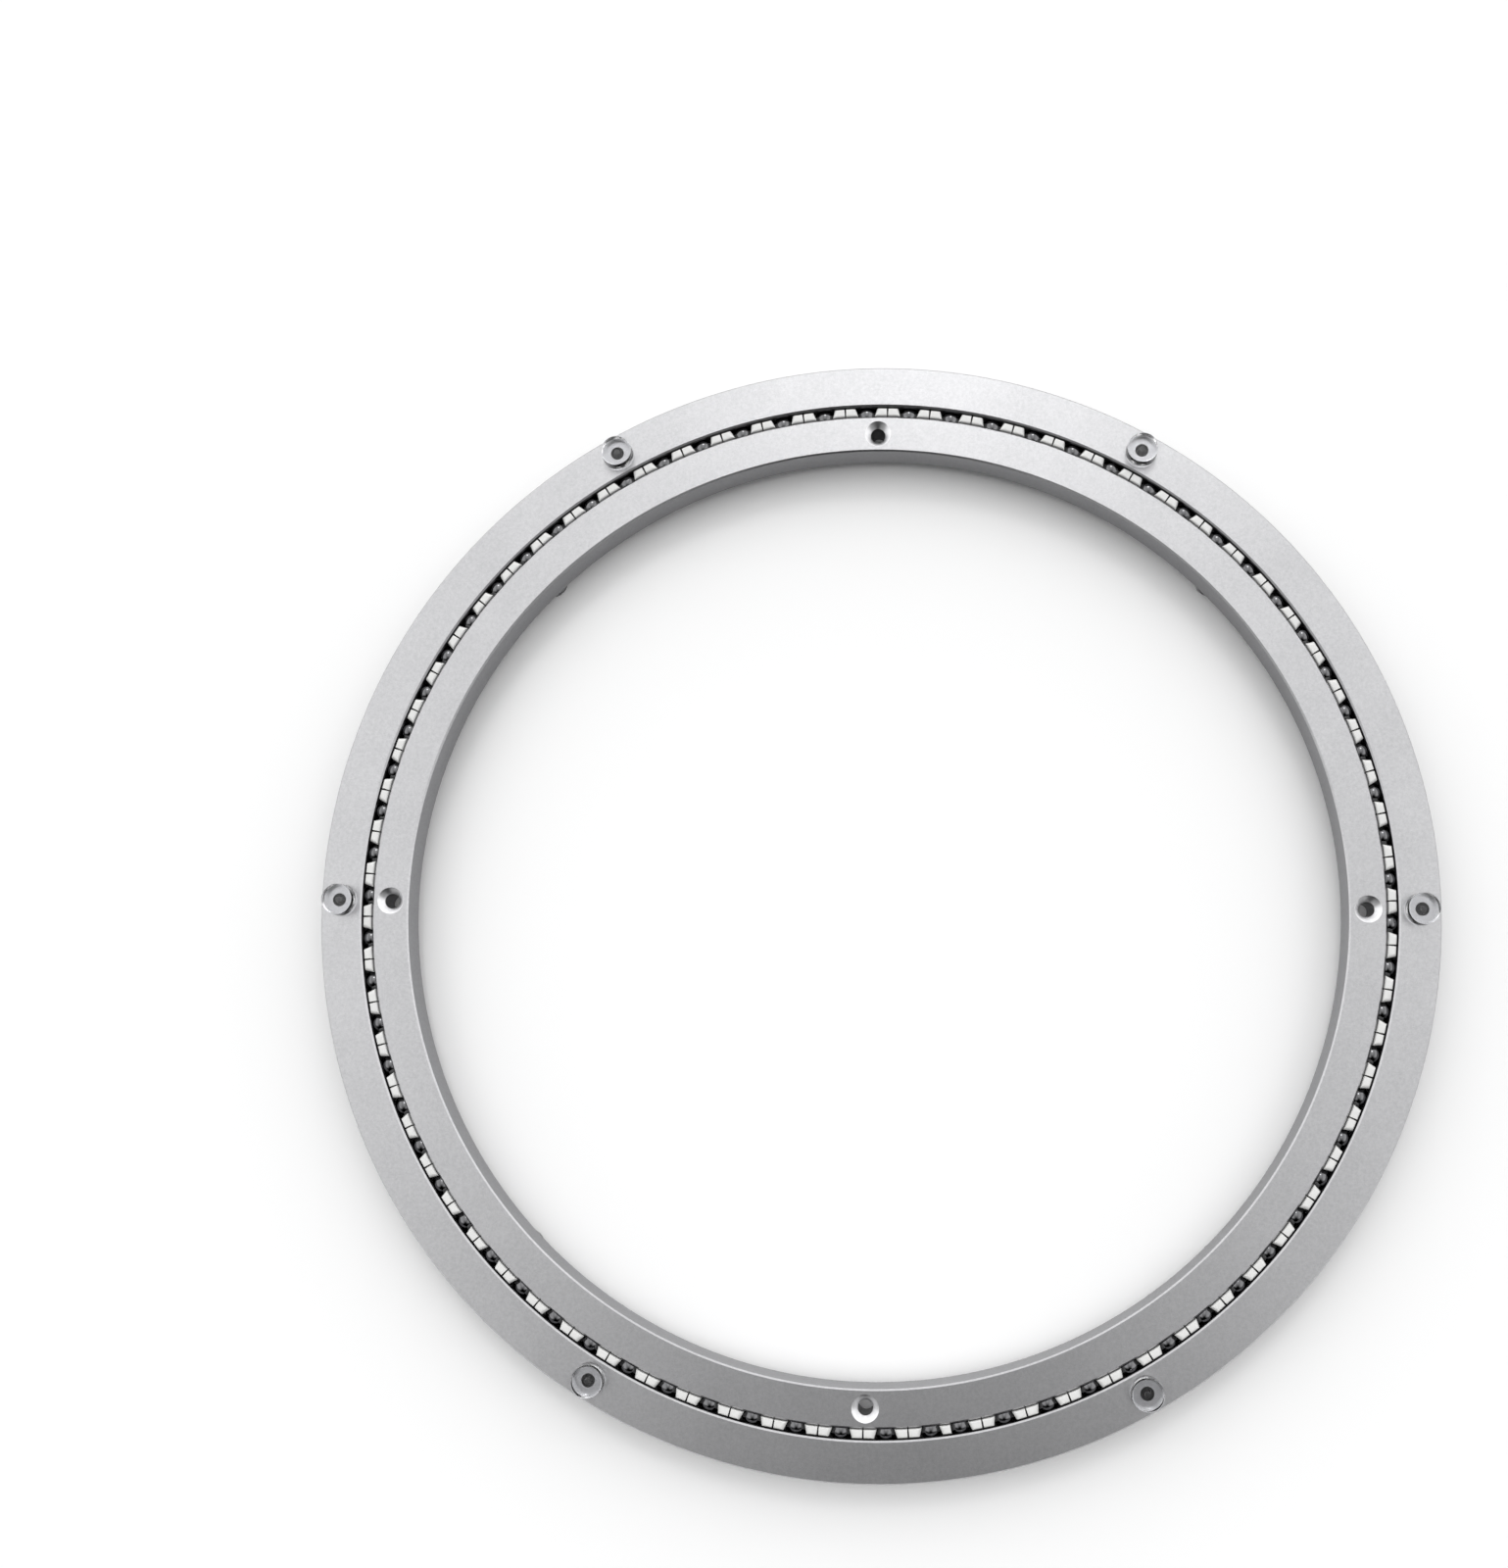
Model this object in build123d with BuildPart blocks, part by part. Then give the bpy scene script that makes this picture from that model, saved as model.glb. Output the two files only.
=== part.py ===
from build123d import *
from math import degrees
import os

# Lazy susan bearing: two flat aluminium rings that turn on one row of caged steel balls.
# Millimetres, +Z up. The origin is where the turning axis meets the table.

# Rings
outer_diameter = 300
outer_ring_width = 11.05
race_gap = 3.1  # radial gap between the two rings
inner_ring_width = 9.85
ring_height = 8.5
edge_chamfer = 0.4

# Balls
ball_diameter = 6
ball_count = 74
groove_clearance = 0.2  # between a ball and its groove

# Cage: a moulded strip bent round in the gap, its two ends meeting at a seam
cage_clearance = 0.45  # between the strip and each ring
cage_recess = 0.3  # how far the strip lies inside both ring faces
pocket_clearance = 0.15  # between a ball and its pocket
mouth_inner_width = 4.5  # open top of a pocket, at the strip's inner face
mouth_outer_width = 6
slit_inner_width = 0.12  # cut that parts two neighbouring claws
slit_outer_width = 0.45
slit_depth = 4.5
seam_pitch = 7.6  # distance between the two balls beside the seam
seam_claw_reach = 5.2  # from the last ball to the end of the strip, past its one last claw
seam_gap = 0.4  # between the two ends of the strip
seam_direction = 278.7  # degrees from +X

# Screw holes and bumper holes
screw_hole_diameter = 4
bumper_hole_diameter = 3.6
countersink_diameter = 7
countersink_angle = 90
screw_count = 4

# Soft push-in bumpers: pads on the outer ring, feet under the inner ring
pad_count = 6
foot_count = 4
bumper_height = 3.5
bumper_diameter = 8.7  # where it stands on the ring
bumper_taper = 0.2  # how much its radius shrinks towards the free end
bumper_base_round = 0.6
bumper_tip_round = 0.3
stem_length = 4
stem_clearance = 0.05  # between the stem and its hole
socket_clearance = 0.3  # below the end of a foot's stem
core_base_diameter = 2.4  # tapered hollow up the middle of the stem
core_tip_diameter = 1.5
core_rise = 1.7  # how far the hollow reaches past the ring's face

# Heights and radii that follow from these
ring_bottom = bumper_height
ring_top = ring_bottom + ring_height
ring_middle = ring_bottom + ring_height / 2
outer_radius = outer_diameter / 2
outer_ring_bore_radius = outer_radius - outer_ring_width
race_radius = outer_ring_bore_radius - race_gap / 2  # circle that the ball centres run on
inner_ring_radius = race_radius - race_gap / 2
bore_radius = inner_ring_radius - inner_ring_width
pad_circle_radius = (outer_ring_bore_radius + outer_radius) / 2
screw_circle_radius = (bore_radius + inner_ring_radius) / 2
groove_radius = ball_diameter / 2 + groove_clearance
pocket_radius = ball_diameter / 2 + pocket_clearance
cage_width = race_gap - 2 * cage_clearance
cage_height = ring_height - 2 * cage_recess
cage_bottom = ring_bottom + cage_recess
cage_top = cage_bottom + cage_height

# Directions of the balls, counted from one end of the cage strip to the other
seam_sweep = degrees(seam_pitch / race_radius)
ball_sweep = 360 - seam_sweep
ball_step = ball_sweep / (ball_count - 1)
first_ball = seam_direction + seam_sweep / 2
last_ball = first_ball + ball_sweep

# Planes that the holes start from and the bumpers stand on
top_face = Plane.XY.offset(ring_top)
bottom_face = Plane(origin=(0, 0, ring_bottom), x_dir=(1, 0, 0), z_dir=(0, 0, -1))


def ring_section(inner, outer):
    """Cut face of a ring: a flat bar with broken edges and the groove that the balls run in."""
    with BuildSketch(Plane.XZ) as section:
        with Locations(((inner + outer) / 2, ring_middle)):
            Rectangle(outer - inner, ring_height)
        chamfer(section.vertices(), edge_chamfer)
        with Locations((race_radius, ring_middle)):
            Circle(groove_radius, mode=Mode.SUBTRACT)
    return section.sketch


def radial_wedge(inner_width, outer_width):
    """Outline across the cage strip that widens from its inner face to its outer face."""
    reach = cage_width / 2 + 0.1
    middle = (inner_width + outer_width) / 4
    spread = (outer_width - inner_width) / 2 * reach / cage_width
    near = middle - spread
    far = middle + spread
    Polygon((-reach, -near), (reach, -far), (reach, far), (-reach, near), align=None)


def cage_link(sweep):
    """Length of the cage strip from one ball round to the next, with half a pocket at each end."""
    with BuildPart() as link:
        with BuildSketch(Plane.XZ):
            with Locations((race_radius, ring_middle)):
                Rectangle(cage_width, cage_height)
        revolve(axis=Axis.Z, revolution_arc=sweep)
        with Locations((0, 0, ring_middle)):
            with PolarLocations(race_radius, 2, 0, sweep, endpoint=True):
                Cylinder(pocket_radius, race_gap, rotation=(0, 90, 0), mode=Mode.SUBTRACT)
    return link.part


def bumper(seat):
    """Clear soft bumper that stands on the seat plane, its hollow stem pushed into the ring."""
    side = Plane(origin=seat.origin, x_dir=seat.x_dir, z_dir=-seat.y_dir)
    stem_radius = bumper_hole_diameter / 2 - stem_clearance
    with BuildPart() as body:
        with BuildSketch(side) as section:
            with BuildLine():
                Polyline(
                    (0, core_rise),
                    (0, bumper_height),
                    (bumper_diameter / 2 - bumper_taper, bumper_height),
                    (bumper_diameter / 2, 0),
                    (stem_radius, 0),
                    (stem_radius, -stem_length),
                    (core_base_diameter / 2, -stem_length),
                    (core_tip_diameter / 2, core_rise),
                    close=True,
                )
            make_face()
            fillet(section.vertices().sort_by(Axis.X)[-1], bumper_base_round)
            fillet(section.vertices().group_by(Axis.Y)[-1].sort_by(Axis.X)[-1], bumper_tip_round)
        revolve(axis=Axis(seat.origin, seat.z_dir))
    return body.part


# Outer ring: turned from flat bar, with bumper holes countersunk underneath for screws
with BuildPart() as outer_ring:
    revolve(ring_section(outer_ring_bore_radius, outer_radius), axis=Axis.Z)
    with Locations(bottom_face):
        with PolarLocations(pad_circle_radius, pad_count):
            CounterSinkHole(
                bumper_hole_diameter / 2, countersink_diameter / 2, ring_height, countersink_angle
            )
outer_ring.part.label = "outer_ring"

# Inner ring: screw holes countersunk on top, and blind sockets for the feet half way between them
foot_places = PolarLocations(screw_circle_radius, foot_count, start_angle=180 / foot_count)
with BuildPart() as inner_ring:
    revolve(ring_section(bore_radius, inner_ring_radius), axis=Axis.Z)
    with Locations(top_face):
        with PolarLocations(screw_circle_radius, screw_count):
            CounterSinkHole(
                screw_hole_diameter / 2, countersink_diameter / 2, ring_height, countersink_angle
            )
    with Locations(bottom_face):
        with PolarLocations(screw_circle_radius, foot_count, start_angle=180 / foot_count):
            Hole(bumper_hole_diameter / 2, stem_length + socket_clearance)
inner_ring.part.label = "inner_ring"

# Ball cage: a strip with round pockets open at the top, and pairs of springy claws between them
with BuildPart() as claw_pair:
    add(cage_link(ball_step))
    with BuildSketch(Plane.XY.offset(ring_middle)):
        with PolarLocations(race_radius, 2, 0, ball_step, endpoint=True):
            radial_wedge(mouth_inner_width, mouth_outer_width)
    extrude(amount=ring_height / 2, mode=Mode.SUBTRACT)
    with BuildSketch(Plane.XY.offset(cage_top - slit_depth)):
        with PolarLocations(race_radius, 1, ball_step / 2):
            radial_wedge(slit_inner_width, slit_outer_width)
    extrude(amount=slit_depth, mode=Mode.SUBTRACT)

# Seam: the strip ends just past its last claw, and starts again under the first ball
with BuildPart() as seam_claw:
    add(cage_link(seam_sweep))
    with BuildSketch(Plane.XY.offset(ring_middle)):
        with PolarLocations(race_radius, 1, 0):
            radial_wedge(mouth_inner_width, mouth_outer_width)
        with PolarLocations(race_radius, 1, seam_sweep):
            Rectangle(race_gap, 2 * (seam_pitch - seam_claw_reach))
    extrude(amount=ring_height / 2, mode=Mode.SUBTRACT)
    with BuildSketch(Plane.XY.offset(cage_bottom)):
        with PolarLocations(race_radius, 1, seam_sweep):
            with Locations((0, seam_claw_reach - seam_pitch + seam_gap / 2)):
                Rectangle(race_gap, seam_gap)
    extrude(amount=cage_height, mode=Mode.SUBTRACT)

with BuildPart() as ball_cage:
    with PolarLocations(0, ball_count - 1, first_ball, ball_sweep - ball_step, endpoint=True):
        add(claw_pair.part)
    with PolarLocations(0, 1, last_ball):
        add(seam_claw.part)
ball_cage.part.label = "ball_cage"

# Steel balls, one in each pocket
with BuildPart() as steel_balls:
    with Locations((0, 0, ring_middle)):
        with PolarLocations(race_radius, ball_count, first_ball, ball_sweep, endpoint=True):
            Sphere(ball_diameter / 2)
steel_balls.part.label = "steel_balls"

os.makedirs("parts", exist_ok=True)
for piece in (outer_ring, inner_ring, ball_cage, steel_balls):
    export_step(piece.part, f"parts/{piece.part.label}.step")

# Bumpers: one pad in each hole of the outer ring, one foot in each socket of the inner ring
pad_places = PolarLocations(pad_circle_radius, pad_count)
for number, place in enumerate(pad_places, start=1):
    top_pad = bumper(Plane(top_face.location * place))
    top_pad.label = f"top_pad_{number}"
    export_step(top_pad, f"parts/{top_pad.label}.step")
for number, place in enumerate(foot_places, start=1):
    base_foot = bumper(Plane(bottom_face.location * place))
    base_foot.label = f"base_foot_{number}"
    export_step(base_foot, f"parts/{base_foot.label}.step")
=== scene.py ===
from math import asin, atan2, cos, degrees, pi, radians, sin, sqrt

import bmesh
import bpy
from mathutils import Matrix, Vector


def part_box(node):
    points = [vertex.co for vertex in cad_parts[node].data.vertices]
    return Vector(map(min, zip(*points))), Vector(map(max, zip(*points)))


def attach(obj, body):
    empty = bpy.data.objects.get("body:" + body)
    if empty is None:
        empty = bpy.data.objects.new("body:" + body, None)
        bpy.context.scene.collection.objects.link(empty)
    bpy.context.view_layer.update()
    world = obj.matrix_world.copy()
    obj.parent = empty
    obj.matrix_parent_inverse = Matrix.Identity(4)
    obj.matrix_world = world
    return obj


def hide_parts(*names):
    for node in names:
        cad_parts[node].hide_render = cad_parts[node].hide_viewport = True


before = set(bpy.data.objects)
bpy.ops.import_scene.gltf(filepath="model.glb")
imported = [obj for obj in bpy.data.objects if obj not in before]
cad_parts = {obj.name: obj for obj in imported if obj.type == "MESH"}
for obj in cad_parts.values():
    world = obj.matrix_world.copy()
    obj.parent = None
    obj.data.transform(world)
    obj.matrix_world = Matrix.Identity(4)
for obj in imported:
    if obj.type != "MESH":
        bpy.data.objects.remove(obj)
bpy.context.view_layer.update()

# Inner ring: the fixed half of the bearing, turned from aluminium plate, blasted and anodised satin grey.
# Its outside holds half of the ball groove. Four countersunk holes take the screws that hold it down, and
# four blind sockets underneath take the feet.
mm = 0.001
ring_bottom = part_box("inner_ring")[0].z
ring_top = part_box("inner_ring")[1].z
ring_height = ring_top - ring_bottom
ring_middle = (ring_bottom + ring_top) / 2
inner_ring_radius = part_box("inner_ring")[1].x
inner_ring_width = 9.85 * mm
bore_radius = inner_ring_radius - inner_ring_width
race_gap = 3.1 * mm
race_radius = inner_ring_radius + race_gap / 2
ball_radius = 3 * mm
groove_radius = ball_radius + 0.2 * mm
edge_chamfer = 0.4 * mm
ring_steps = 360
groove_steps = 20
hole_steps = 64
sharp_edge_angle = radians(20)
screw_circle_radius = (bore_radius + inner_ring_radius) / 2
screw_hole_radius = 2 * mm
countersink_radius = 3.5 * mm
countersink_lip = 0.1 * mm
bumper_hole_radius = 1.8 * mm
socket_depth = 4.3 * mm
drill_spare = 1 * mm
quarter_turns = (0, 90, 180, 270)


def start_piece(add_primitive, name, stretch=(1, 1, 1), **sizes):
    """Adds a primitive with nothing else selected, stretches it and opens it in edit mode."""
    bpy.ops.object.select_all(action="DESELECT")
    add_primitive(**sizes)
    piece = bpy.context.object
    piece.name = name
    piece.scale = stretch
    bpy.ops.object.transform_apply(location=True, rotation=True, scale=True)
    bpy.ops.object.mode_set(mode="EDIT")
    return piece


def pick(piece, kind, test):
    """Selects the vertices, edges or faces of the piece that pass the test, in edit mode."""
    bpy.ops.mesh.select_mode(type=kind)
    bpy.ops.mesh.select_all(action="DESELECT")
    shape = bmesh.from_edit_mesh(piece.data)
    for item in {"VERT": shape.verts, "EDGE": shape.edges, "FACE": shape.faces}[kind]:
        if test(item):
            item.select_set(True)
    bmesh.update_edit_mesh(piece.data)


def extrude(*shift):
    """Pulls the selected faces out by a shift."""
    bpy.ops.mesh.extrude_region_move(TRANSFORM_OT_translate={"value": shift})


def close_shell():
    """Merges doubled points, turns the faces outwards and leaves edit mode."""
    bpy.ops.mesh.select_all(action="SELECT")
    bpy.ops.mesh.remove_doubles(threshold=0.002 * mm)
    bpy.ops.mesh.normals_make_consistent(inside=False)
    bpy.ops.object.mode_set(mode="OBJECT")


def turned_ring(name, inner, outer, race_side):
    """Bar section with broken edges and a ball groove on its race side, spun round the axis."""
    section = start_piece(
        bpy.ops.mesh.primitive_plane_add, name, size=1, location=((inner + outer) / 2, 0, ring_middle),
        rotation=(radians(90), 0, 0), stretch=(outer - inner, ring_height, 1),
    )
    bpy.ops.mesh.bevel(offset=edge_chamfer, affect="VERTICES", segments=1)
    bpy.ops.mesh.delete(type="ONLY_FACE")

    def near_groove(point, reach):
        return abs(point.co.x - race_side) < edge_chamfer / 4 and abs(point.co.z - ring_middle) < reach

    pick(section, "EDGE", lambda edge: all(near_groove(point, ring_height) for point in edge.verts))
    bpy.ops.mesh.subdivide(number_cuts=2)
    side_height = ring_height - 2 * edge_chamfer
    cut_height = side_height / 6
    lip_height = sqrt(groove_radius**2 - (race_gap / 2) ** 2)
    groove_centre = (race_radius, 0, ring_middle)
    pick(section, "VERT", lambda point: near_groove(point, 1.5 * cut_height))
    bpy.ops.transform.resize(value=(1, 1, lip_height / cut_height), center_override=groove_centre)
    pick(section, "EDGE", lambda edge: all(near_groove(point, 1.01 * lip_height) for point in edge.verts))
    bpy.ops.mesh.delete(type="EDGE")
    pick(section, "VERT", lambda point: near_groove(point, 1.01 * lip_height) and point.co.z < ring_middle)
    sweep = 2 * asin(lip_height / groove_radius)
    into_ring = -1 if race_side < race_radius else 1
    bpy.ops.mesh.spin(steps=groove_steps, angle=into_ring * sweep, center=groove_centre, axis=(0, 1, 0))
    bpy.ops.mesh.select_all(action="SELECT")
    bpy.ops.mesh.remove_doubles(threshold=0.01 * mm)
    bpy.ops.mesh.select_all(action="SELECT")
    bpy.ops.mesh.spin(steps=ring_steps, angle=2 * pi, center=(0, 0, 0), axis=(0, 0, 1))
    close_shell()
    return section


def drill(radius, from_height, to_height, circle_radius):
    """Cutting tool for a plain round hole, standing on the circle of holes."""
    return start_piece(
        bpy.ops.mesh.primitive_cylinder_add, "drill", vertices=hole_steps, radius=radius,
        depth=to_height - from_height, location=(circle_radius, 0, (from_height + to_height) / 2),
    )


def countersunk_drill(hole_radius, circle_radius, upwards):
    """Cutting tool for a countersunk hole right through a ring, its cone at the top or the bottom face."""
    cone_depth = countersink_radius - hole_radius
    rim_radius = countersink_radius + countersink_lip
    tool = drill(hole_radius, ring_bottom - drill_spare, ring_top - cone_depth, circle_radius)
    pick(tool, "FACE", lambda face: face.normal.z > 0.9)
    for rise, start_radius, end_radius in (
        (cone_depth - countersink_lip, hole_radius, countersink_radius - countersink_lip),
        (countersink_lip, countersink_radius - countersink_lip, rim_radius),
        (drill_spare, rim_radius, rim_radius),
    ):
        widen = end_radius / start_radius
        extrude(0, 0, rise)
        bpy.ops.transform.resize(value=(widen, widen, 1), center_override=(circle_radius, 0, 0))
    if not upwards:
        bpy.ops.mesh.select_all(action="SELECT")
        bpy.ops.transform.resize(value=(1, 1, -1), center_override=(0, 0, ring_middle))
    return tool


def copy_of(piece):
    """A copy of a piece, with its own mesh."""
    copy = piece.copy()
    copy.data = piece.data.copy()
    bpy.context.scene.collection.objects.link(copy)
    return copy


def copies_round(piece, directions):
    """Copies of a piece turned about the bearing's axis and joined into one piece."""
    bpy.ops.object.select_all(action="DESELECT")
    for direction in directions:
        copy = copy_of(piece)
        copy.data.transform(Matrix.Rotation(radians(direction), 4, "Z"))
        copy.select_set(True)
    bpy.data.objects.remove(piece)
    bpy.context.view_layer.objects.active = copy
    bpy.ops.object.join()
    return copy


def apply_modifier(piece, kind, **settings):
    """Adds a modifier to the piece, sets it and applies it."""
    modifier = piece.modifiers.new(kind.lower(), kind)
    for name, value in settings.items():
        setattr(modifier, name, value)
    bpy.ops.object.select_all(action="DESELECT")
    bpy.context.view_layer.objects.active = piece
    bpy.ops.object.modifier_apply(modifier=modifier.name)


def cut(piece, tool):
    """Takes the tool's shape out of the piece."""
    apply_modifier(piece, "BOOLEAN", operation="DIFFERENCE", solver="EXACT", object=tool)
    bpy.data.objects.remove(tool)


def dress(piece, finish, name, body, slot, *nodes):
    """Smooth shading with its edges kept, the finish, and what the piece stands for and moves with."""
    bpy.ops.object.select_all(action="DESELECT")
    piece.select_set(True)
    bpy.context.view_layer.objects.active = piece
    bpy.ops.object.shade_smooth_by_angle(angle=sharp_edge_angle)
    piece.name = name
    piece.data.materials.clear()
    piece.data.materials.append(finish)
    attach(piece, body)
    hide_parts(*nodes)


class Signal:
    """A socket among a material's nodes. Sums on it add the Math nodes that work them out."""

    def __init__(self, tree, socket=None):
        self.tree = tree
        self.socket = socket

    def node(self, kind, settings=None, sockets=None, output=0):
        """Adds a node, sets it, feeds its sockets and gives back one of its outputs."""
        node = self.tree.nodes.new(kind)
        for name, value in (settings or {}).items():
            setattr(node, name, value)
        for name, value in (sockets or {}).items():
            if isinstance(value, Signal):
                self.tree.links.new(value.socket, node.inputs[name])
            else:
                node.inputs[name].default_value = value
        return Signal(self.tree, node.outputs[output])

    def math(self, operation, *values):
        return self.node("ShaderNodeMath", {"operation": operation}, dict(enumerate(values)))

    def mix(self, start, end):
        """Colour between start and end, by this signal."""
        return self.node("ShaderNodeMix", {"data_type": "RGBA"}, {0: self, 6: start, 7: end}, output=2)

    def part(self, axis):
        """One of the three numbers of a vector."""
        return self.node("ShaderNodeSeparateXYZ", sockets={"Vector": self}, output=axis)

    def noise(self, scale, detail=2.0, roughness=0.5):
        """Noise over the places that this signal gives."""
        sockets = {"Vector": self, "Scale": scale, "Detail": detail, "Roughness": roughness}
        return self.node("ShaderNodeTexNoise", sockets=sockets)

    def bump(self, strength, distance):
        """Normals of a surface as high as this signal says."""
        sockets = {"Strength": strength, "Distance": distance, "Height": self}
        return self.node("ShaderNodeBump", sockets=sockets)

    def __add__(self, other):
        return self.math("ADD", self, other)

    def __sub__(self, other):
        return self.math("SUBTRACT", self, other)

    def __rsub__(self, other):
        return self.math("SUBTRACT", other, self)

    def __mul__(self, other):
        return self.math("MULTIPLY", self, other)

    __radd__ = __add__
    __rmul__ = __mul__


def new_finish(name, **constants):
    """A material with one shader, its plain values set on the shader's own sockets."""
    finish = bpy.data.materials.new(name)
    finish.use_nodes = True
    shader = finish.node_tree.nodes["Principled BSDF"]
    for socket, value in constants.items():
        shader.inputs[socket.replace("_", " ")].default_value = value
    start = Signal(finish.node_tree)
    return finish, shader, start.node("ShaderNodeTexCoord", output="Object")


def feed(shader, **signals):
    """Links signals to the shader's sockets."""
    for socket, signal in signals.items():
        signal.tree.links.new(signal.socket, shader.inputs[socket.replace("_", " ")])


def satin_aluminium():
    """Anodised aluminium: blasted top faces, turning lines and a darker colour elsewhere that is partly
    painted shade, bright countersinks, screw holes darkened with painted shade.
    """
    finish, shader, place = new_finish("satin_aluminium", Metallic=1.0)
    upwards = place.node("ShaderNodeNewGeometry", output="Normal").part("Z")
    turned = place.math("LESS_THAN", upwards, 0.5)
    around = place.math("ARCTAN2", place.part("Y"), place.part("X"))
    from_middle = place.node("ShaderNodeVectorMath", {"operation": "LENGTH"}, {0: place}, output="Value")
    lines_per_metre = 9000
    breaks_per_radian = 90
    feed_marks = (place.part("Z") + from_middle) * lines_per_metre
    breaks = around * breaks_per_radian
    along_lines = place.node("ShaderNodeCombineXYZ", sockets={"X": breaks, "Z": feed_marks})

    across = place.math("ABSOLUTE", place.part("X"))
    along = place.math("ABSOLUTE", place.part("Y"))
    longer = place.math("MAXIMUM", across, along)
    shorter = place.math("MINIMUM", across, along)
    outwards = longer - screw_circle_radius
    from_hole = place.math("SQRT", outwards * outwards + shorter * shorter)
    in_hole = place.math("LESS_THAN", from_hole, countersink_radius + countersink_lip)
    sloping = place.math("LESS_THAN", upwards, 0.9) * place.math("GREATER_THAN", upwards, 0.3)
    bright_cut = in_hole * sloping
    # Painted shade: the upright walls of the screw holes are coloured near black, for the shade deep inside
    # them.
    upright = place.math("LESS_THAN", place.math("ABSOLUTE", upwards), 0.3)
    hole_shade_mask = upright * place.math("LESS_THAN", from_hole, screw_hole_radius + countersink_lip)

    grain = place.noise(3500, 2, 0.6)
    lines = along_lines.noise(1, 3, 0.7)
    rings_per_metre = 6000
    cutter_marks = place.node("ShaderNodeCombineXYZ", sockets={"X": from_hole * rings_per_metre})
    rings = cutter_marks.noise(1, 1)
    texture = grain + turned * (lines - grain)
    texture = texture + bright_cut * (rings - texture)
    mottle = place.noise(1300, 2, 0.6) - 0.5
    cloud = place.noise(60, 3) - 0.5
    shade = texture * 0.8 + mottle * 0.8 + cloud * 0.3 + 0.1
    blasted_colour = shade.mix((0.38, 0.38, 0.39, 1), (0.58, 0.58, 0.59, 1))
    # Turned faces: a darker anodised finish than the blasted faces, made darker still as painted shade for
    # the dim surroundings that the walls mirror.
    turned_colour_and_shade = shade.mix((0.225, 0.225, 0.235, 1), (0.35, 0.35, 0.36, 1))
    # Painted shade: near black on the screw hole walls, the turned colour on the other walls.
    wall_and_hole_shade_colour = hole_shade_mask.mix(turned_colour_and_shade, (0.1, 0.1, 0.105, 1))
    bright_colour = shade.mix((0.55, 0.55, 0.56, 1), (0.85, 0.85, 0.86, 1))
    feed(
        shader, Base_Color=bright_cut.mix(turned.mix(blasted_colour, wall_and_hole_shade_colour), bright_colour),
        Roughness=0.27 + 0.12 * texture, Normal=texture.bump(0.12, 0.05 * mm),
    )
    return finish


satin = satin_aluminium()
inner_ring = turned_ring("inner_ring_bar", bore_radius, inner_ring_radius, inner_ring_radius)
screw_drill = countersunk_drill(screw_hole_radius, screw_circle_radius, upwards=True)
close_shell()
cut(inner_ring, copies_round(screw_drill, quarter_turns))
socket_end = ring_bottom + socket_depth
socket_drill = drill(bumper_hole_radius, ring_bottom - drill_spare, socket_end, screw_circle_radius)
close_shell()
cut(inner_ring, copies_round(socket_drill, [45 + turn for turn in quarter_turns]))
dress(inner_ring, satin, "inner_ring_turned", "base", "satin_aluminium", "inner_ring")

# Outer ring: the half that turns, made like the inner ring, with the other half of the ball groove in its
# bore. Six holes take the pads' stems. They are countersunk underneath, for screws up into a wooden top.
outer_ring_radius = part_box("outer_ring")[1].x
outer_ring_bore_radius = race_radius + race_gap / 2
pad_circle_radius = (outer_ring_bore_radius + outer_ring_radius) / 2
sixth_turns = (0, 60, 120, 180, 240, 300)

outer_ring = turned_ring("outer_ring_bar", outer_ring_bore_radius, outer_ring_radius, outer_ring_bore_radius)
pad_drill = countersunk_drill(bumper_hole_radius, pad_circle_radius, upwards=False)
close_shell()
cut(outer_ring, copies_round(pad_drill, sixth_turns))
dress(outer_ring, satin, "outer_ring_turned", "turning_ring", "satin_aluminium", "outer_ring")

# Ball cage: a white nylon strip, moulded flat and bent round into the gap between the rings. The balls snap
# into its round pockets from above, between pairs of springy claws. Its two ends meet at a seam with a
# single claw.
ball_count = 74
cage_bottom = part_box("ball_cage")[0].z
cage_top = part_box("ball_cage")[1].z
cage_height = cage_top - cage_bottom
cage_clearance = 0.45 * mm
cage_width = race_gap - 2 * cage_clearance
pocket_radius = ball_radius + 0.15 * mm
mouth_widths = (4.5 * mm, 6 * mm)
slit_widths = (0.36 * mm, 0.5 * mm)
slit_depth = 4.5 * mm
seam_pitch = 7.6 * mm
seam_claw_reach = 5.2 * mm
seam_gap = 0.4 * mm
seam_direction = 278.7
seam_sweep = degrees(seam_pitch / race_radius)
ball_step = (360 - seam_sweep) / (ball_count - 1)
first_ball = seam_direction + seam_sweep / 2
last_ball = first_ball + 360 - seam_sweep
claw_round = 0.9 * mm
slit_round = 0.05 * mm
edge_round = 0.5 * mm
lip_steps = 6
edge_steps = 4
pocket_steps = 48
cutter_spare = 1 * mm


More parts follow.
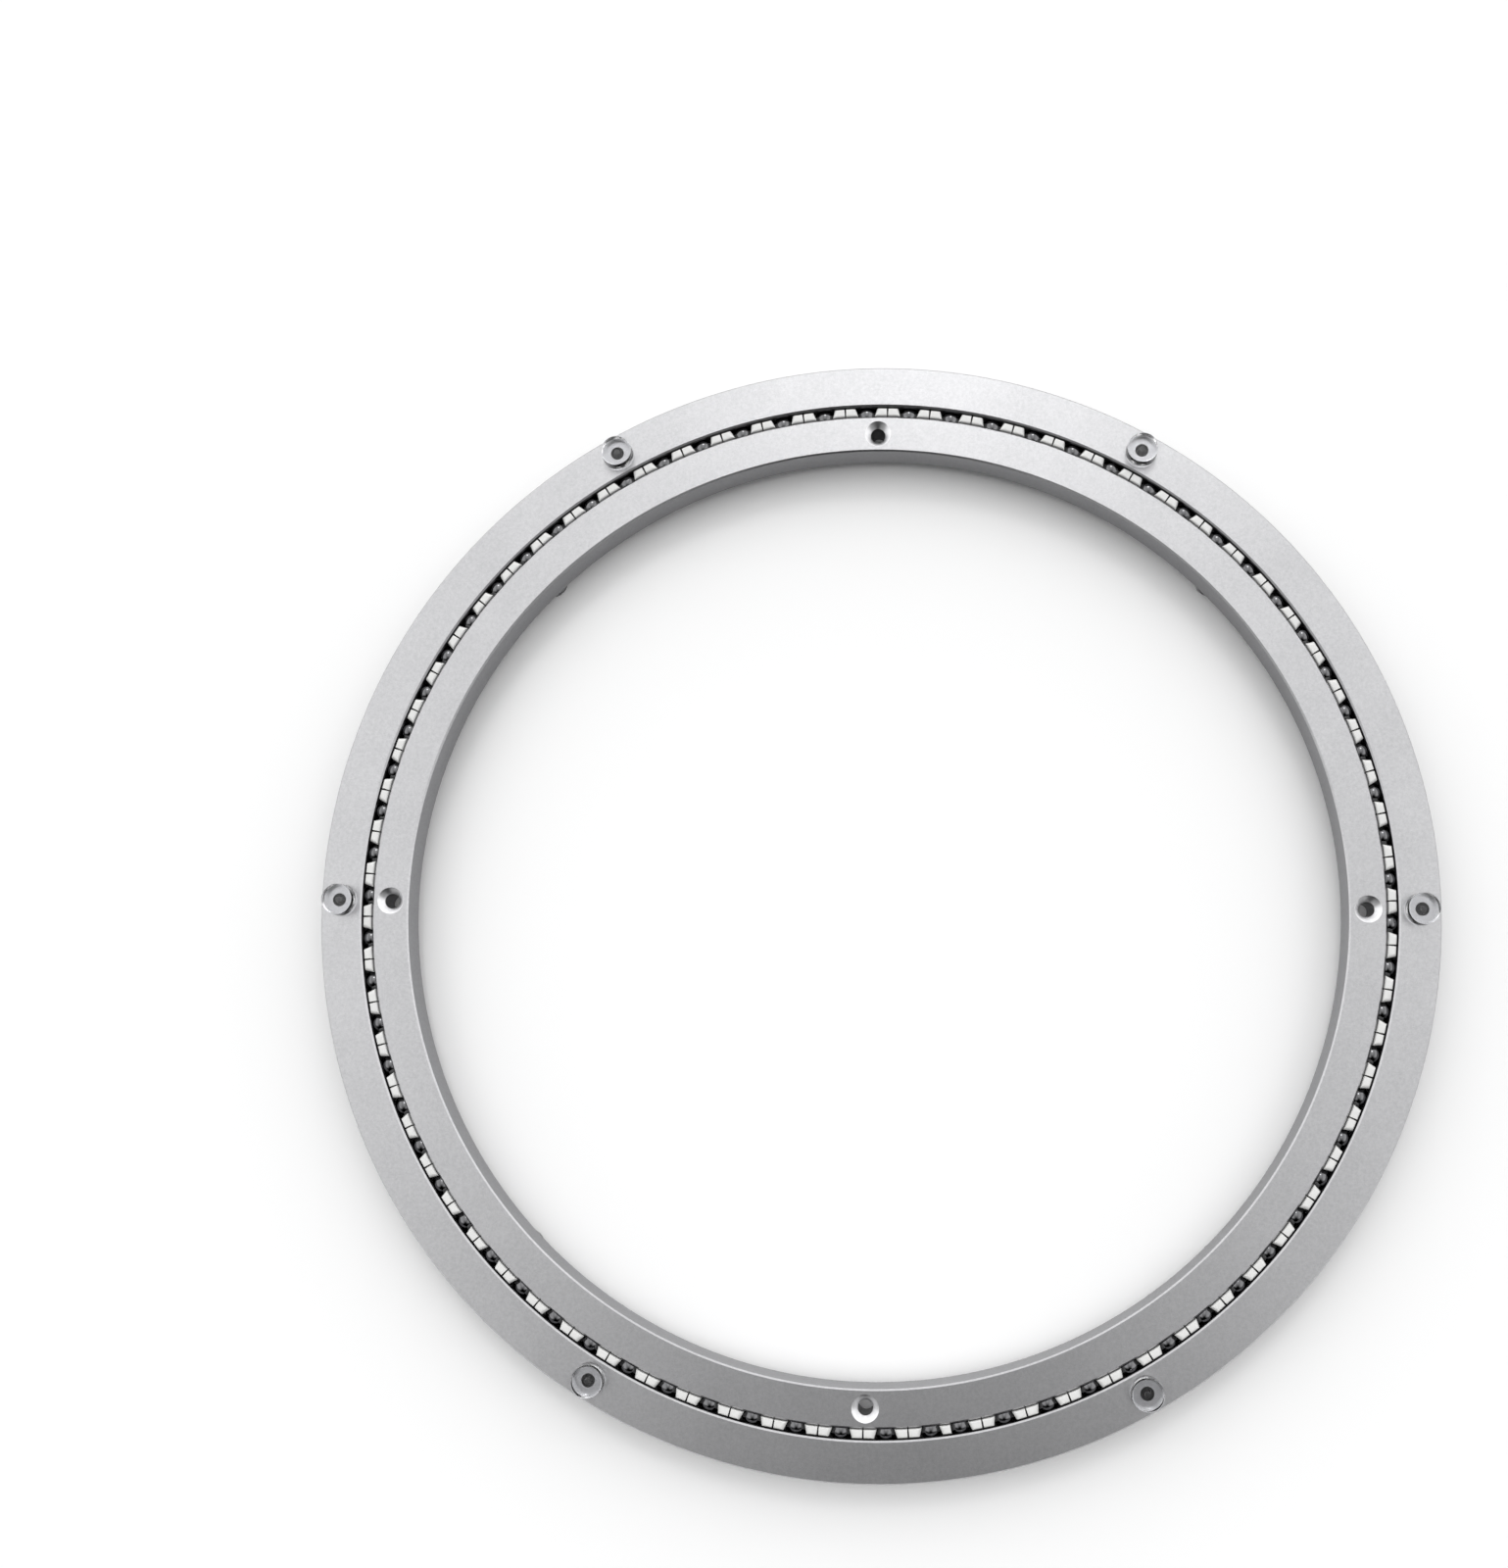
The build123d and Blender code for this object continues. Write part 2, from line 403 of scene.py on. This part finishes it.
def cut_block(strip, direction, from_length, to_length, bottom, flare=1, lip=0):
    """Takes a block out of the strip from the bottom height up, with a round lip and a wider outer end."""
    rim = cage_top - lip
    middle = (race_radius, (from_length + to_length) / 2, (bottom + rim) / 2)
    block = start_piece(
        bpy.ops.mesh.primitive_cube_add, "block", size=1, location=middle,
        stretch=(cage_width, to_length - from_length, rim - bottom),
    )
    pick(block, "FACE", lambda face: face.normal.z > 0.9)
    half = (to_length - from_length) / 2
    turns = [radians(90) * step / lip_steps for step in range(lip_steps + 1)] if lip else []
    for start, end in zip(turns, turns[1:]):
        widen = (half + lip - lip * cos(end)) / (half + lip - lip * cos(start))
        extrude(0, 0, lip * (sin(end) - sin(start)))
        bpy.ops.transform.resize(value=(1, widen, 1), center_override=middle)
    extrude(0, 0, cutter_spare)
    pick(block, "FACE", lambda face: face.normal.x > 0.9)
    bpy.ops.transform.resize(value=(1, flare, 1), center_override=(race_radius, 0, 0))
    for side in (-1, 1):
        pick(block, "FACE", lambda face: face.normal.x * side > 0.7)
        extrude(side * race_gap, 0, 0)
    close_shell()
    block.data.transform(Matrix.Rotation(radians(direction), 4, "Z"))
    cut(strip, block)


def cage_strip(name, sweep, steps):
    """Plain length of the strip from one ball round to the next, with half a pocket at each end."""
    strip = start_piece(
        bpy.ops.mesh.primitive_plane_add, name, size=1, location=(race_radius, 0, ring_middle),
        rotation=(radians(90), 0, 0), stretch=(cage_width, cage_height, 1),
    )
    pick(strip, "VERT", lambda point: point.co.z > ring_middle)
    bpy.ops.mesh.bevel(offset=edge_round, segments=edge_steps, affect="VERTICES")
    bpy.ops.mesh.select_all(action="SELECT")
    bpy.ops.mesh.spin(steps=steps, angle=radians(-sweep), center=(0, 0, 0), axis=(0, 0, 1))
    close_shell()
    for direction in (0, sweep):
        pocket = start_piece(
            bpy.ops.mesh.primitive_cylinder_add, "pocket", vertices=pocket_steps, radius=pocket_radius,
            depth=race_gap, location=(race_radius, 0, ring_middle), rotation=(0, radians(90), 0),
        )
        close_shell()
        pocket.data.transform(Matrix.Rotation(radians(direction), 4, "Z"))
        cut(strip, pocket)
    return strip


def cut_wedge(strip, direction, widths, bottom, lip):
    """Opens the strip from the bottom height up, wider at its outer face than at its inner face."""
    inner, outer = widths
    cut_block(strip, direction, -inner / 2, inner / 2, bottom, outer / inner, lip)


def open_ends(strip, sweep):
    """Takes the end faces off a length of the strip, where the next lengths follow on."""

    def from_end(point):
        length = race_radius * atan2(point.co.y, point.co.x)
        return min(length, race_radius * radians(sweep) - length)

    bpy.context.view_layer.objects.active = strip
    bpy.ops.object.mode_set(mode="EDIT")
    pick(strip, "FACE", lambda face: all(from_end(point) < 0.001 * mm for point in face.verts))
    bpy.ops.mesh.delete(type="FACE")
    bpy.ops.object.mode_set(mode="OBJECT")


def white_nylon():
    """Moulded nylon: white, half matt, with the faint unevenness of a moulding."""
    finish, shader, place = new_finish("white_nylon", IOR=1.53)
    cloud = place.noise(700, 3)
    grain = place.noise(6000, 2)
    feed(
        shader, Base_Color=cloud.mix((0.69, 0.69, 0.68, 1), (0.78, 0.78, 0.77, 1)),
        Roughness=0.32 + 0.16 * grain, Normal=(grain * 0.4 + cloud * 0.6).bump(0.1, 0.05 * mm),
    )
    return finish


claw_pair = cage_strip("claw_pair", ball_step, steps=3)
for direction in (0, ball_step):
    cut_wedge(claw_pair, direction, mouth_widths, ring_middle, claw_round)
cut_wedge(claw_pair, ball_step / 2, slit_widths, cage_top - slit_depth, slit_round)
open_ends(claw_pair, ball_step)

seam_claw = cage_strip("seam_claw", seam_sweep, steps=2)
cut_wedge(seam_claw, 0, mouth_widths, ring_middle, claw_round)
claw_end = seam_claw_reach - seam_pitch
cut_block(seam_claw, seam_sweep, claw_end, seam_pitch, ring_middle, lip=claw_round / 2)
cut_block(seam_claw, seam_sweep, claw_end, claw_end + seam_gap, cage_bottom - cutter_spare)
open_ends(seam_claw, seam_sweep)

ball_cage = copies_round(claw_pair, [first_ball + ball_step * number for number in range(ball_count - 1)])
seam_end = copies_round(seam_claw, [last_ball])
bpy.ops.object.select_all(action="DESELECT")
seam_end.select_set(True)
ball_cage.select_set(True)
bpy.context.view_layer.objects.active = ball_cage
bpy.ops.object.join()
bpy.ops.object.mode_set(mode="EDIT")
close_shell()
dress(ball_cage, white_nylon(), "ball_cage_moulded", "ball_row", "white_nylon", "ball_cage")

# Steel balls: 74 polished bearing balls, 6 mm across, one in each pocket of the cage. They roll in the
# groove between the two rings.
ball_cuts = 7


def bearing_steel():
    """Hardened and polished steel, its colour darkened far below real steel as painted shade, for the dark
    surroundings mirrored in the balls.
    """
    finish, shader, place = new_finish("bearing_steel", Metallic=1.0)
    cloud = place.noise(900, 3)
    feed(
        # Painted shade: a near-black steel colour stands in for the dark room that the balls mirror.
        shader, Base_Color=cloud.mix((0.11, 0.11, 0.115, 1), (0.19, 0.19, 0.195, 1)),
        Roughness=0.05 + 0.06 * cloud,
    )
    return finish


ball = start_piece(bpy.ops.mesh.primitive_cube_add, "ball", size=2 * ball_radius)
bpy.ops.mesh.subdivide(number_cuts=ball_cuts)
bpy.ops.object.mode_set(mode="OBJECT")
apply_modifier(ball, "CAST", factor=1, radius=0, size=ball_radius, use_radius_as_size=False)
ball.data.transform(Matrix.Translation((race_radius, 0, ring_middle)))
balls = copies_round(ball, [first_ball + ball_step * number for number in range(ball_count)])
dress(balls, bearing_steel(), "steel_balls_polished", "ball_row", "bearing_steel", "steel_balls")

# Bumpers: clear soft plastic, moulded in one piece with a hollow stem that is pushed into its hole. Six pads
# stand on the outer ring and carry the turntable top. Four feet stand under the inner ring.
bumper_height = 3.5 * mm
bumper_radius = 4.35 * mm
bumper_taper = 0.2 * mm
base_round = 0.6 * mm
tip_round = 0.3 * mm
flat_border = 0.05 * mm
stem_radius = bumper_hole_radius - 0.05 * mm
stem_length = 4 * mm
core_base_radius = 1.2 * mm
core_tip_radius = 0.75 * mm
core_rise = 1.7 * mm
seat_gap = 0.01 * mm
bumper_steps = 64
round_steps = 6
flat_facing = 0.999


def clear_plastic():
    """Clear soft plastic with a faint blue tint and a skin that is not quite smooth, its stem painted near
    black as painted shade.
    """
    finish, shader, place = new_finish(
        "clear_bumper", Transmission_Weight=1.0, IOR=1.49, Specular_IOR_Level=0.5
    )
    cloud = place.noise(500, 3)
    # Painted shade: faces of the stem are coloured near black, for the shade in the hole that the stem sits
    # in.
    stem = place.node("ShaderNodeAttribute", {"attribute_name": "stem"}, output="Fac")
    skin_colour = cloud.mix((0.955, 0.96, 0.975, 1), (0.985, 0.987, 0.993, 1))
    feed(
        shader, Base_Color=stem.mix(skin_colour, (0.01, 0.01, 0.011, 1)),
        Roughness=0.02 + 0.05 * cloud + 0.3 * stem, Normal=cloud.bump(0.08, 0.1 * mm),
    )
    return finish


def moulded_bumper():
    """One bumper standing up on the origin, its stem below."""
    body = start_piece(
        bpy.ops.mesh.primitive_cylinder_add, "bumper", vertices=bumper_steps, radius=bumper_radius,
        depth=bumper_height, location=(0, 0, bumper_height / 2),
    )
    pick(body, "FACE", lambda face: face.normal.z > 0.9)
    shrink = 1 - bumper_taper / bumper_radius
    bpy.ops.transform.resize(value=(shrink, shrink, 1), center_override=(0, 0, 0))
    pick(body, "EDGE", lambda edge: all(point.co.z > bumper_height - 0.01 * mm for point in edge.verts))
    bpy.ops.mesh.bevel(offset=tip_round, segments=round_steps, affect="EDGES")
    pick(body, "FACE", lambda face: face.normal.z > flat_facing)
    bpy.ops.mesh.inset(thickness=flat_border)
    pick(body, "EDGE", lambda edge: all(point.co.z < 0.01 * mm for point in edge.verts))
    bpy.ops.mesh.bevel(offset=base_round, segments=round_steps, affect="EDGES")
    pick(body, "FACE", lambda face: face.normal.z < -flat_facing)
    bpy.ops.mesh.inset(thickness=flat_border)
    bpy.ops.mesh.inset(thickness=bumper_radius - base_round - flat_border - stem_radius)
    extrude(0, 0, -stem_length)
    bpy.ops.mesh.inset(thickness=stem_radius - core_base_radius)
    extrude(0, 0, stem_length + core_rise)
    shrink = core_tip_radius / core_base_radius
    bpy.ops.transform.resize(value=(shrink, shrink, 1), center_override=(0, 0, 0))
    close_shell()
    # Marks the stem's faces for the painted shade that darkens them.
    stem_shade_paint = body.data.attributes.new("stem", "FLOAT", "FACE")
    for face in body.data.polygons:
        low = face.center.z < core_rise + 0.01 * mm
        stem_shade_paint.data[face.index].value = 1.0 if low and face.center.xy.length < stem_radius else 0.0
    return body


clear = clear_plastic()
bumper = moulded_bumper()
for side, kind, body, count in ((1, "top_pad", "turning_ring", 6), (-1, "base_foot", "base", 4)):
    seat = ring_top + seat_gap if side > 0 else ring_bottom - seat_gap
    for number in range(1, count + 1):
        node = f"{kind}_{number}"
        low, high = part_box(node)
        piece = copy_of(bumper)
        turn_over = Matrix.Rotation(0 if side > 0 else pi, 4, "X")
        centre = (low + high) / 2
        piece.data.transform(Matrix.Translation((centre.x, centre.y, seat)) @ turn_over)
        dress(piece, clear, f"{node}_clear", body, "clear_bumper", node)
bpy.data.objects.remove(bumper)

# Floor, light and camera: a plain white floor, a soft sky like a white tent with a dark opening from the top
# towards the front, a small lamp high at the back, and a camera almost straight above.
floor_size = 8
floor_drop = 0.03 * mm
sky_level = 0.876
back_rise = 3.296
back_narrowing = 3.0
side_rise = 3.12
side_start = 0.234
darkest = 0.03
brightest = 1.56
front_start = 0.28
front_end = 0.58
front_level = 0.03
low_front_level = 0.4
low_front_start = 0.3
low_front_end = 0.6
front_lean = 0.38
lamp_level = 5.2
lamp_height = radians(52)
lamp_core = radians(5)
lamp_edge = radians(8)

floor = start_piece(
    bpy.ops.mesh.primitive_plane_add, "floor", size=floor_size, location=(0, 0, -floor_drop)
)
bpy.ops.object.mode_set(mode="OBJECT")
floor_finish = new_finish("white_floor", Base_Color=(0.96, 0.96, 0.96, 1), Roughness=0.9)[0]
floor.data.materials.append(floor_finish)

world = bpy.data.worlds.new("studio")
world.use_nodes = True
bpy.context.scene.world = world
backdrop = world.node_tree.nodes["Background"]
sky = Signal(world.node_tree).node("ShaderNodeTexCoord", output="Generated")
sideways = sky.math("ABSOLUTE", sky.part("X"))
backwards = sky.part("Y") * sky.math("MAXIMUM", 1 - sideways * back_narrowing, 0.0)
tent = sky.math("MAXIMUM", sky_level + backwards * back_rise, darkest)
tent = tent + sky.math("MAXIMUM", sideways - side_start, 0.0) * side_rise
tent = sky.math("MINIMUM", tent, brightest)
low_front = sky.node("ShaderNodeMapRange", sockets={
    "Value": sky.part("Z"), "From Min": low_front_start, "From Max": low_front_end,
    "To Min": low_front_level, "To Max": front_level,
})
forwards = sky.part("Y") - (1 - sky.part("Z")) * front_lean
opening = {"Value": forwards, "From Min": -front_end, "From Max": -front_start, "To Min": low_front}
tent = tent * sky.node("ShaderNodeMapRange", sockets=opening)
lamp_direction = {0: sky, 1: (0, cos(lamp_height), sin(lamp_height))}
to_lamp = sky.node("ShaderNodeVectorMath", {"operation": "DOT_PRODUCT"}, lamp_direction, output="Value")
lamp = {"Value": to_lamp, "From Min": cos(lamp_edge), "From Max": cos(lamp_core), "To Max": lamp_level}
tent = tent + sky.node("ShaderNodeMapRange", sockets=lamp)
grey = sky.node("ShaderNodeCombineColor", sockets={"Red": tent, "Green": tent, "Blue": tent})
camera_ray = sky.node("ShaderNodeLightPath", output="Is Camera Ray")
world.node_tree.links.new(camera_ray.mix(grey, (1, 1, 1, 1)).socket, backdrop.inputs["Color"])

lens = bpy.data.cameras.new("camera")
lens.lens = 32.44
lens.shift_x = -0.0751
lens.shift_y = 0.0770
lens.clip_start = 1 * mm
camera = bpy.data.objects.new("camera", lens)
bpy.context.scene.collection.objects.link(camera)
bpy.context.scene.camera = camera
distance = 377.9 * mm
azimuth = radians(24.868)
elevation = radians(83.786)
roll = radians(-24.247)
right = Vector((cos(azimuth), sin(azimuth), 0))
back = Vector((cos(elevation) * sin(azimuth), -cos(elevation) * cos(azimuth), sin(elevation)))
up = back.cross(right)
rolled_right = cos(roll) * right + sin(roll) * up
rolled_up = cos(roll) * up - sin(roll) * right
camera.rotation_euler = Matrix((rolled_right, rolled_up, back)).transposed().to_euler()
camera.location = Vector((0, 0, ring_top)) + distance * back
bpy.context.scene.view_settings.view_transform = "Standard"
